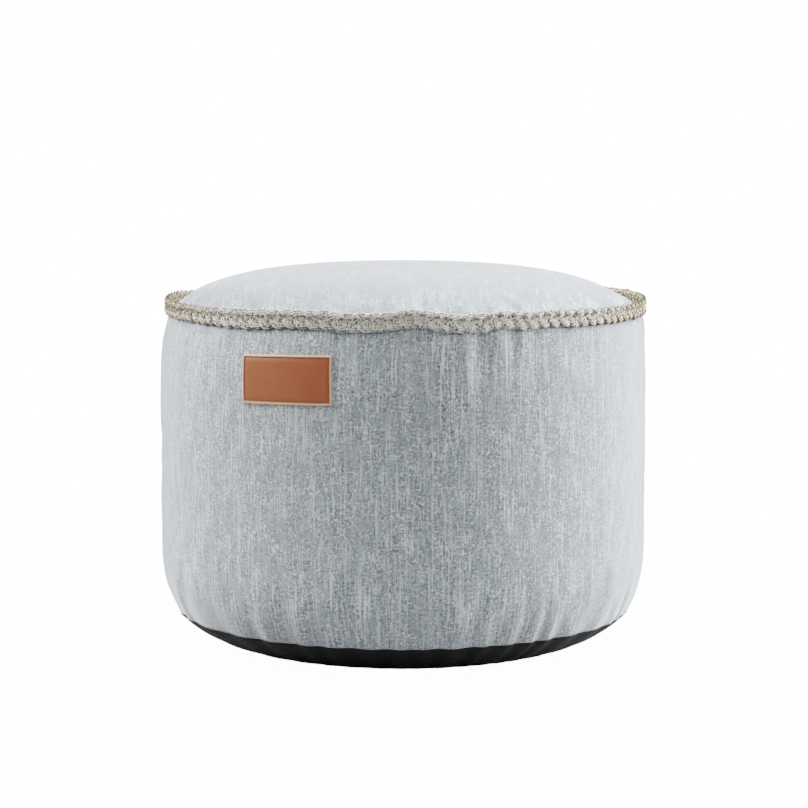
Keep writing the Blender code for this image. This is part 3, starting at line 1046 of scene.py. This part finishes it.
# ---------------------------------------------------------------------------------------------
# Studio. A round white table in a white room, lit by high softboxes at both sides, by a low one at
# the right and, weakly, by one overhead. No lamp faces the drum's front, so it is darkest there.
# ---------------------------------------------------------------------------------------------
TABLE_RADIUS = 1.5
TABLE_WHITE = 0.325
# how much of the floor's own shading the camera sees, beside the footstool and at the table's rim
TABLE_SHADING = 0.05
TABLE_CLEAR = (0.30, 0.85)
CAMERA_AWAY = 3.0
CAMERA_HEIGHT = 0.6045
CAMERA_DOWN = 0.119
CAMERA_ASIDE = 0.001
LENS = 129.8
SENSOR = 36.0
# The picture's response: straight in the shadows, with a long soft shoulder up to the brightness
# that is drawn white. Each pair is a brightness over that one, and what it is drawn as.
FILM_WHITE = 4.5
FILM_SHOULDER = (
    (0.0167, 0.075),
    (0.0333, 0.150),
    (0.0667, 0.290),
    (0.1111, 0.410),
    (0.1556, 0.490),
    (0.2222, 0.590),
    (0.3111, 0.678),
    (0.4444, 0.765),
    (0.6667, 0.870),
)

floor = round_piece("floor", rings([(TABLE_RADIUS * t, 0) for t in (1, 0.5)], 96), bottom=(0, 0, 0))
white = new_material("white_painted_table")
tree = white.node_tree
paint = node(tree, "BsdfDiffuse", {"Color": (TABLE_WHITE, TABLE_WHITE, TABLE_WHITE, 1)})
cleared = node(tree, "Emission", {"Color": (1, 1, 1, 1), "Strength": FILM_WHITE})
place = node(tree, "TexCoord").outputs["Object"]
away = node(tree, "VectorMath", {0: place}, operation="LENGTH").outputs["Value"]
spread = {0: away, 1: TABLE_CLEAR[0], 2: TABLE_CLEAR[1], 3: 1 - TABLE_SHADING, 4: 1.0}
clearing = node(tree, "MapRange", spread).outputs[0]
seen = node(tree, "LightPath").outputs["Is Camera Ray"]
share = node(tree, "Math", {0: clearing, 1: seen}, operation="MULTIPLY").outputs[0]
mixed = node(tree, "MixShader", {0: share, 1: paint.outputs[0], 2: cleared.outputs[0]})
node(tree, "OutputMaterial", {0: mixed.outputs[0]})
floor.data.materials.append(white)

world = bpy.data.worlds.new("white_room")
bpy.context.scene.world = world
world.use_nodes = True
tree = world.node_tree
tree.nodes.clear()
seen = node(tree, "LightPath").outputs["Is Camera Ray"]
brightness = node(tree, "Math", {0: seen, 1: FILM_WHITE}, operation="MULTIPLY").outputs[0]
backdrop = node(tree, "Background", {"Color": (1, 1, 1, 1), "Strength": brightness})
node(tree, "OutputWorld", {0: backdrop.outputs[0]})


def around(azimuth, away, up):
    """A place in the studio, seen from the footstool."""
    turn = math.radians(azimuth)
    return (away * math.sin(turn), -away * math.cos(turn), up)


# name, place, size in metres, power in watts
SOFTBOXES = (
    ("left_softbox", around(-90, 2.2, 1.9), 1.4, 123),
    ("left_softbox_behind", around(-120, 2.2, 1.9), 1.4, 79),
    ("right_softbox_low", around(98, 2.4, 1.0), 1.4, 119),
    ("right_softbox", around(90, 2.2, 1.9), 1.4, 48),
    ("right_softbox_behind", around(120, 2.2, 1.9), 1.4, 143),
    ("top_softbox_before", (0, -1.6, 2.4), 1.6, 36),
)
for name, where, size, power in SOFTBOXES:
    lamp = bpy.data.lights.new(name, "AREA")
    lamp.shape = "SQUARE"
    lamp.size = size
    lamp.energy = power
    box = bpy.data.objects.new(name, lamp)
    box.location = where
    aim = Vector((0, 0, 0.2)) - box.location
    box.rotation_euler = aim.to_track_quat("-Z", "Y").to_euler()
    box.visible_camera = False
    bpy.context.scene.collection.objects.link(box)

lens = bpy.data.cameras.new("camera")
lens.lens = LENS
lens.sensor_width = SENSOR
camera = bpy.data.objects.new("camera", lens)
camera.location = (CAMERA_ASIDE, -CAMERA_AWAY, CAMERA_HEIGHT)
camera.rotation_euler = (math.pi / 2 - CAMERA_DOWN, 0, 0)
bpy.context.scene.collection.objects.link(camera)
bpy.context.scene.camera = camera
view = bpy.context.scene.view_settings
view.view_transform = "Standard"
view.use_curve_mapping = True
view.curve_mapping.white_level = (FILM_WHITE, FILM_WHITE, FILM_WHITE)
for brightness, drawn in FILM_SHOULDER:
    view.curve_mapping.curves[3].points.new(brightness, drawn)
view.curve_mapping.update()
